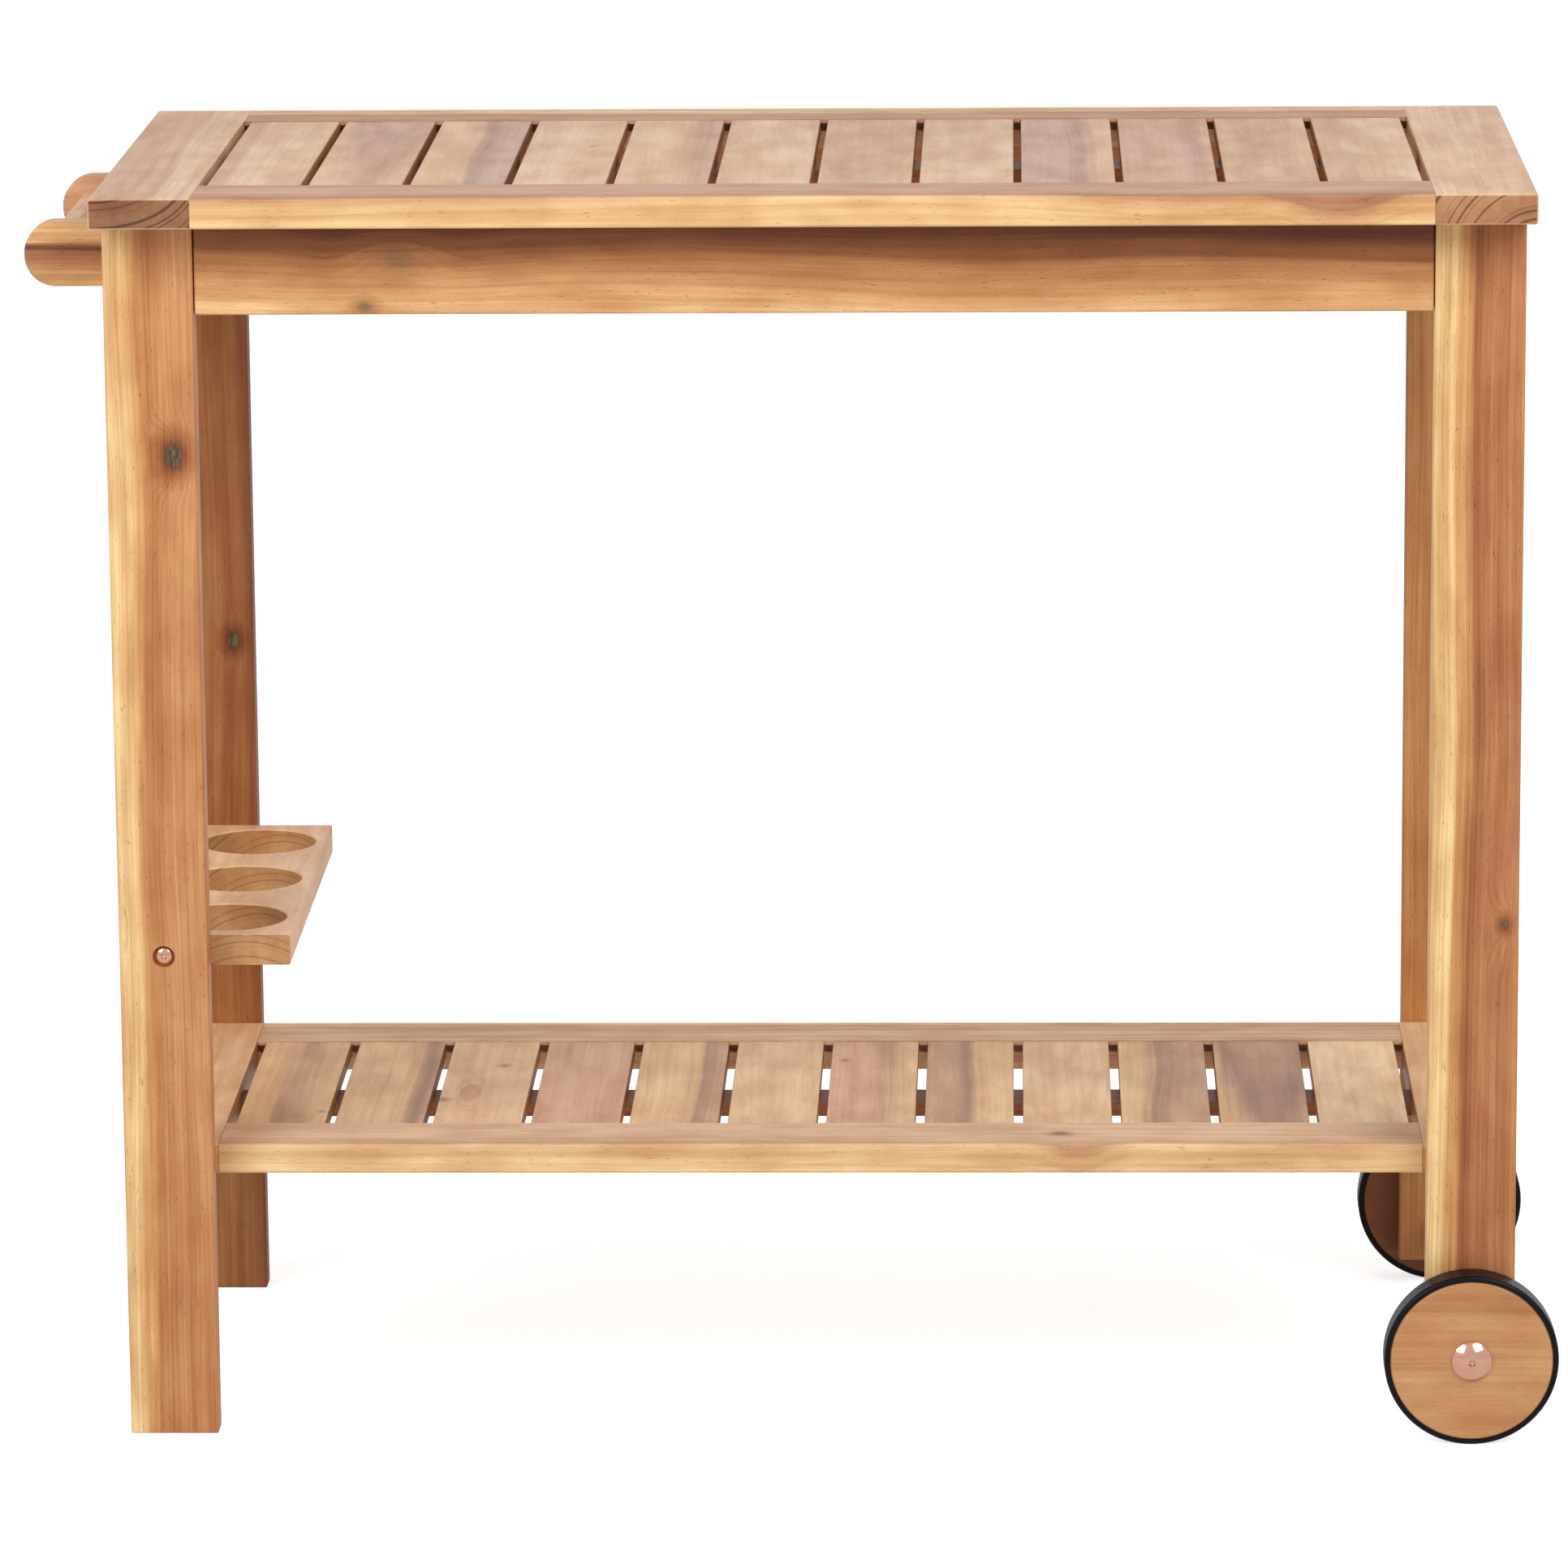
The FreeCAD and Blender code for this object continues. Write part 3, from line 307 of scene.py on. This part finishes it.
top_slats = [
    (CREAM, (-70, -30), 60, {}),
    (ROSE, (6, -44), 50, {"tilt": (0, 0.03)}),
    (GREY, (66, -20), 66, {"tilt": (0.02, 0)}),
    (CREAM, (-90, -40), 70, {"knots": [(30, 14, 1.6, 0.4)]}),
    (ROSE, (70, -10), 54, {}),
    (CREAM, (85, -20), 55, {"tilt": (0.08, 0)}),
    (ROSE, (0, -50), 54, {"tilt": (0, 0.02)}),
    (CREAM, (-5, -45), 45, {"tilt": (0, 0.05)}),
    (GREY, (-45, -20), 62, {}),
    (ROSE, (-80, -30), 110, {}),
    (ROSE, (0, -50), 54, {"eyes": [(-110, 0, 60, 18, 9)]}),
    (CREAM, (-30, -40), 50, {"eyes": [(20, -8, 60, 18, 8)]}),
]
for number, (growth, pith, heart, figure) in enumerate(top_slats, start=1):
    acacia(f"top_slat_{number:02d}", "yxz", growth, pith, heart, lines=0.1, painted_side_shade=True, **figure)

# Shelf: built like the top, between the legs, and doweled to them. Its colours are a little yellower than
# the top's, which carry a painted sheen, and several show a dark band where the heartwood ends.
for side, pith in (("left", (20, -50)), ("right", (-20, -50))):
    acacia("shelf_end_board_" + side, "yxz", TAN, pith, heart=40, lines=0.15, ends="#ecdcc6",
           end_lines=0.25, painted_side_shade=True)
PALE_HEART = [(-60, "#e5bf9a"), (-16, "#e8c39e"), (-2, "#d8ae86"), (2, "#eac692"), (10, "#f5d39a"),
              (40, "#efcb92")]
acacia("shelf_rail_front", "xyz", PALE_HEART, pith=(60, 60), heart=100, lines=0.18,
       eyes=[(170, -22, 50, 12, -9)], knots=[(158, -2, 3.4, 0.7)])
acacia("shelf_rail_back", "xyz", PALE_HEART, pith=(-50, -50), heart=90)
acacia("shelf_batten", "xyz", UMBER, pith=(60, -60), heart=120)
BANDED = [(-60, "#cfa788"), (-12, "#cda382"), (-3, "#ab8266"), (0, "#c39a78"), (4, "#e4bc8a"),
          (12, "#f0cb9a"), (50, "#eac494")]
CLAY = [(-60, "#ddb08e"), (-14, "#e1b493"), (-2, "#cc9e7c"), (6, "#e6bf94"), (20, "#edc89c"),
        (50, "#e6bf96")]
PALE = [(-60, "#f8d4b0"), (-14, "#fbd8b6"), (-2, "#f1caa4"), (6, "#fcdcb1"), (22, "#fee0b6")]
shelf_slats = [
    (BANDED, (4, -44), 49, {"knots": [(-80, 24, 2, 0.4)]}),
    (BANDED, (75, -10), 58, {}),
    (TAN, (-5, -60), 58, {"knots": [(45, 10, 2.4, 0.5), (-48, -24, 3, 0.5)],
                          "eyes": [(-30, -10, 50, 14, -12)]}),
    (CLAY, (-60, -60), 200, {}),
    (BANDED, (62, 0), 52, {}),
    (TAN, (0, -50), 30, {"tilt": (0, 0.04)}),
    (CLAY, (-50, -10), 62, {"knots": [(60, -20, 2, 0.5)], "eyes": [(55, -12, 24, 8, -14)]}),
    (BANDED, (-55, -10), 58, {}),
    (TAN, (-8, -50), 40, {"tilt": (0, 0.05)}),
    (BANDED, (60, -20), 70, {}),
    (BANDED, (6, -46), 57.7, {"tilt": (0, 0.035), "wave": 2, "swing": 4}),
    (PALE, (0, -50), 30, {"tilt": (0, -0.03)}),
]
for number, (growth, pith, heart, figure) in enumerate(shelf_slats, start=1):
    acacia(f"shelf_slat_{number:02d}", "yxz", growth, pith, heart, lines=0.14, painted_side_shade=True, **figure)

# Bottle rack: one board between the two left legs, with three round holes bored through it
# for bottles that stand on the shelf below. It is doweled and bolted to the legs.
BOTTLE_HOLE = 39
HOLE_STEP = 115
HOLE_ASIDE = 2
acacia("bottle_rack", "yxz", PALE, pith=(20, -60), heart=76, swing=14, lines=0.12, ends="#ccb794",
       end_lines=0.3, bore=BOTTLE_HOLE, bores=[(step * HOLE_STEP, HOLE_ASIDE) for step in (-1, 0, 1)])

# Handle: two arms with round ends, doweled and bolted to the left apron, and a round bar
# turned from one piece between them. The front arm has a dark wavy heart through its middle.
HEART_BAND = [(-40, "#ecc088"), (-14, "#e6b882"), (-9, "#c48f63"), (-3, "#b58058"), (-0.5, "#6a4030"),
              (1, "#a06e50"), (3, "#f0c48a"), (30, "#f8d29a")]
acacia("handle_arm_front", "xzy", HEART_BAND, pith=(-60, 10), heart=68, swing=5, wave=4)
acacia("handle_arm_back", "xzy", TAN, pith=(-40, 30), heart=90, lines=0.2)
acacia("handle_bar", "yxz", PALE, pith=(0, 30), heart=20)

# Dowels: beech pegs glued across every joint of the frame and hidden inside it. They are
# paler than the boards and dull, with the short flecks that beech has.

def mottled(name, dark, light, size, rough, metal=0.0, gloss=0.5, relief=0.0):
    """A material whose colour clouds between two shades in patches of a size in millimetres."""
    material = bpy.data.materials.new(name)
    material.use_nodes = True
    tree = material.node_tree
    tree.nodes.clear()
    place = add(tree, "ShaderNodeTexCoord", {}, out="Object")
    patch = add(tree, "ShaderNodeTexNoise", {"Vector": place, "Scale": MM / size, "Detail": 3})
    colour = add(tree, "ShaderNodeValToRGB", {0: patch}, stops=[(0.35, dark), (0.65, light)])
    rough = add(tree, "ShaderNodeMapRange", {"Value": patch, "To Min": rough * 0.8, "To Max": rough * 1.2})
    bump = add(tree, "ShaderNodeBump", {"Height": patch, "Strength": relief, "Distance": 0.0002})
    skin = add(tree, "ShaderNodeBsdfPrincipled", {
        "Base Color": colour, "Roughness": rough, "Metallic": metal,
        "Specular IOR Level": gloss, "Normal": bump})
    add(tree, "ShaderNodeOutputMaterial", {0: skin})
    return material


dress("frame_dowels", mottled("turned_beech", "#d2ae80", "#e2c49a", 1.5, 0.6, relief=0.2))

# Bolts: zinc-plated steel, with low domed heads and a cross key. Two hold the rack to the
# left legs, two hold the handle arms to the left apron, and each turns into a barrel nut set
# across the board behind. The screws of the battens are the same steel.

# the plate that shows has a pinkish tinge, and mirrors both soft boxes as white spots
ZINC = mottled("pink_zinc_plate", "#c9948c", "#c79f80", 9, 0.14, metal=1.0)
# the plate that is hidden or in the shade is plain and duller
PLAIN_ZINC = mottled("bright_zinc_plate", "#bfbab4", "#d6d0c8", 6, 0.28, metal=1.0)
dress("barrel_nuts", PLAIN_ZINC)
dress("batten_screws", PLAIN_ZINC)


def domed_head(radius, height, crown, key, neck, depth, place, outward):
    """A round head with a cross key, turned as a slice of a ball on a short rim.

    The neck goes down from the underside by the depth, as a shank, or up into it, as a socket.
    The dome starts just outside the key, whose floor is a little less deep than the key is
    wide, and between its four arms the key's rim is pulled in to half its radius.
    """
    ball = (radius ** 2 + crown ** 2) / (2 * crown)
    start = key * 1.1
    floor = height - key * 0.8
    steps = 12
    arc = [start + (radius - start) * step / steps for step in range(steps + 1)]
    profile = [(0, floor), (key, floor)]
    profile += [(reach, height - ball + math.sqrt(ball ** 2 - reach ** 2)) for reach in arc]
    profile += [(radius, 0), (neck, 0), (neck, -depth), (0, -depth)]
    head = bmesh.new()
    verts = [head.verts.new((reach, 0, rise)) for reach, rise in profile]
    edges = [head.edges.new(pair) for pair in zip(verts, verts[1:])]
    bmesh.ops.spin(head, geom=verts + edges, cent=(0, 0, 0), axis=(0, 0, 1), angle=math.tau,
                   steps=64, use_merge=True)
    bmesh.ops.remove_doubles(head, verts=head.verts, dist=1e-6)
    for vert in head.verts:
        if abs(vert.co.xy.length - key) < 1e-6:
            vert.co.xy *= 0.5 + 0.5 * math.cos(2 * math.atan2(vert.co.y, vert.co.x)) ** 2
    bmesh.ops.recalc_face_normals(head, faces=head.faces)
    turn = Vector((0, 0, 1)).rotation_difference(Vector(outward)).to_matrix().to_4x4()
    bmesh.ops.transform(head, matrix=Matrix.Translation(place) @ turn, verts=head.verts)
    data = bpy.data.meshes.new("head")
    head.to_mesh(data)
    head.free()
    return data


def finish_heads(heads, name, node, body):
    """Make one piece of some heads, in place of a CAD node."""
    mesh = bmesh.new()
    for head in heads:
        mesh.from_mesh(head)
    for face in mesh.faces:
        face.smooth = True
    for edge in mesh.edges:
        edge.smooth = edge.calc_face_angle(0) < math.radians(35)
    data = bpy.data.meshes.new(name)
    mesh.to_mesh(data)
    mesh.free()
    piece = bpy.data.objects.new(name, data)
    bpy.context.scene.collection.objects.link(piece)
    data.materials.append(ZINC)
    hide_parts(node)
    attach(piece, body)


def middle_of(piece):
    """The middle of a CAD node's box."""
    low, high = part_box(piece)
    return (low + high) / 2


# in metres, as the frame is: the head's own shape, how deep the head is seated in its board,
# and how long the shanks are that reach the barrel nuts of the rack and of the arms
BOLT_HEAD = {"radius": 0.007, "height": 0.003, "crown": 0.0028, "key": 0.0018, "neck": 0.003}
HEAD_SEAT = 0.0035
RACK_SHANK = 0.040
ARM_SHANK = 0.031
leg = middle_of("leg_back_left")
leg_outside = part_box("leg_back_left")[1].y
rack = middle_of("bottle_rack")
apron_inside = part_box("apron_left")[1].x
bolts = []
for side, face in (("front", -1), ("back", 1)):
    arm = middle_of("handle_arm_" + side)
    in_leg = (leg.x, face * (leg_outside - HEAD_SEAT), rack.z)
    in_apron = (apron_inside - HEAD_SEAT, arm.y, arm.z)
    bolts.append(domed_head(**BOLT_HEAD, depth=RACK_SHANK, place=in_leg, outward=(0, face, 0)))
    bolts.append(domed_head(**BOLT_HEAD, depth=ARM_SHANK, place=in_apron, outward=(1, 0, 0)))
finish_heads(bolts, "domed_bolts", "frame_bolts", "trolley")

# Wheels: at the wheel end one steel axle runs through both legs. On each end of it turn a
# sawn acacia disc, its nylon bush pressed in, with a thin black rubber tyre stretched round it.
# The rubber is near black with a soft sheen, and the nylon is milky and half dull.
WHEEL = [(-60, "#cb9968"), (-12, "#cf9e6d"), (-3, "#b98655"), (2, "#cf9f6c"), (30, "#d3a473"),
         (60, "#ca9867")]
# the back disc's colours are darker than the front's: a painted shade, for the shadow of the shelf and
# legs it stands in
BACK_DISC_PAINTED_SHADE = [(-60, "#8c5634"), (-4, "#7e4a2a"), (4, "#8f5833"), (50, "#925c37")]
for side, growth in (("front", WHEEL), ("back", BACK_DISC_PAINTED_SHADE)):
    acacia("wheel_disc_" + side, "xzy", growth, pith=(80, 40), heart=72, swing=7, wave=4, lines=0.14)
    rubber = mottled("moulded_rubber_" + side, "#0a070c", "#110d15", 4, 0.34, gloss=0.12, relief=0.1)
    dress("wheel_tyre_" + side, rubber)
    dress("wheel_bush_" + side, mottled("milky_nylon_" + side, "#d6d2c8", "#e2dfd8", 5, 0.45))
dress("axle", PLAIN_ZINC)
dress("axle_washers", PLAIN_ZINC)

# Axle caps: domed caps of the same pink plate, pressed on the ends of the axle to keep the
# wheels on. Their rims stand a little off the discs, and each has a socket for the axle.
CAP_CROWN = 0.005
CAP_KEY = 0.0021
SOCKET_RADIUS = 0.0051
SOCKET_DEPTH = 0.0029
for side, face in (("front", -1), ("back", 1)):
    low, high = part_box("axle_cap_" + side)
    rim = middle_of("axle_cap_" + side)
    rim.y = face * min(abs(low.y), abs(high.y))
    cap = domed_head((high - low).x / 2, (high - low).y, CAP_CROWN, CAP_KEY, SOCKET_RADIUS,
                     -SOCKET_DEPTH, rim, (0, face, 0))
    finish_heads([cap], "domed_cap_" + side, "axle_cap_" + side, "trolley")

# Studio: a wide sheet of white paper under the trolley, and two soft boxes in front of it,
# one low on the left and one high on the right. The paper glows white to the camera, a
# little in mirrors, and not on the wood, which gets only the light that the paper reflects.
FLOOR_SIZE = 60
PAPER_GLOW = 0.74
MIRRORED_SHARE = 0.4
bpy.ops.mesh.primitive_plane_add(size=FLOOR_SIZE)
floor = bpy.context.object
floor.name = "studio_floor"
paper = bpy.data.materials.new("white_paper")
paper.use_nodes = True
tree = paper.node_tree
tree.nodes.clear()
rays = add(tree, "ShaderNodeLightPath", {}).node.outputs
seen = add(tree, "ShaderNodeMath", {0: rays["Is Glossy Ray"], 1: MIRRORED_SHARE,
                                    2: rays["Is Camera Ray"]}, operation="MULTIPLY_ADD")
seen = add(tree, "ShaderNodeMath", {0: seen, 1: rays["Is Transmission Ray"]}, operation="MAXIMUM")
glow = add(tree, "ShaderNodeMath", {0: seen, 1: PAPER_GLOW}, operation="MULTIPLY")
skin = add(tree, "ShaderNodeBsdfPrincipled", {
    "Base Color": linear("#e8e8e8"), "Roughness": 0.9,
    "Emission Color": (1, 1, 1, 1), "Emission Strength": glow})
add(tree, "ShaderNodeOutputMaterial", {0: skin})
floor.data.materials.append(paper)

# the room is white where it is seen, and lights the wood a third as strongly
ROOM_LIGHT = 0.34
world = bpy.data.worlds.new("studio")
bpy.context.scene.world = world
world.use_nodes = True
tree = world.node_tree
tree.nodes.clear()
rays = add(tree, "ShaderNodeLightPath", {}).node.outputs
seen = add(tree, "ShaderNodeMath", {0: rays["Is Camera Ray"], 1: rays["Is Glossy Ray"]},
           operation="MAXIMUM")
seen = add(tree, "ShaderNodeMath", {0: seen, 1: rays["Is Transmission Ray"]}, operation="MAXIMUM")
level = add(tree, "ShaderNodeMapRange", {"Value": seen, "To Min": ROOM_LIGHT, "To Max": 1.0})
sky = add(tree, "ShaderNodeBackground", {"Color": (1, 1, 1, 1), "Strength": level})
add(tree, "ShaderNodeOutputWorld", {0: sky})

# the soft boxes' places are read from their reflections in the cap and the bolt
SOFTBOX_SIZE = 2.2
AIM = Vector((0, 0, 0.45))
for name, spot, power in (("softbox_left", Vector((-2.25, -2.4, 2.6)), 71),
                          ("softbox_right", Vector((2.15, -2.6, 3.1)), 96)):
    lamp = bpy.data.lights.new(name, "AREA")
    lamp.shape = "SQUARE"
    lamp.size = SOFTBOX_SIZE
    lamp.energy = power
    holder = bpy.data.objects.new(name, lamp)
    bpy.context.scene.collection.objects.link(holder)
    holder.location = spot
    holder.rotation_euler = (AIM - spot).to_track_quat("-Z", "Y").to_euler()

# Camera: a long lens at standing height, a little right of the middle, looking down 12
# degrees. Its place in metres and its turns in radians are fitted to the photo.
LENS = 185.43
SENSOR = 36
CAMERA_PLACE = (0.14206, -5.29755, 1.52911)
PAN, TILT_DOWN, ROLL = 0.02892, 0.21037, -0.00769
lens = bpy.data.cameras.new("camera")
lens.lens = LENS
lens.sensor_width = SENSOR
camera = bpy.data.objects.new("camera", lens)
bpy.context.scene.collection.objects.link(camera)
turn = Matrix.Rotation(PAN, 4, "Z") @ Matrix.Rotation(math.pi / 2 - TILT_DOWN, 4, "X")
turn = turn @ Matrix.Rotation(ROLL, 4, "Z")
camera.matrix_world = Matrix.Translation(CAMERA_PLACE) @ turn
bpy.context.scene.camera = camera
bpy.context.scene.view_settings.view_transform = "Standard"
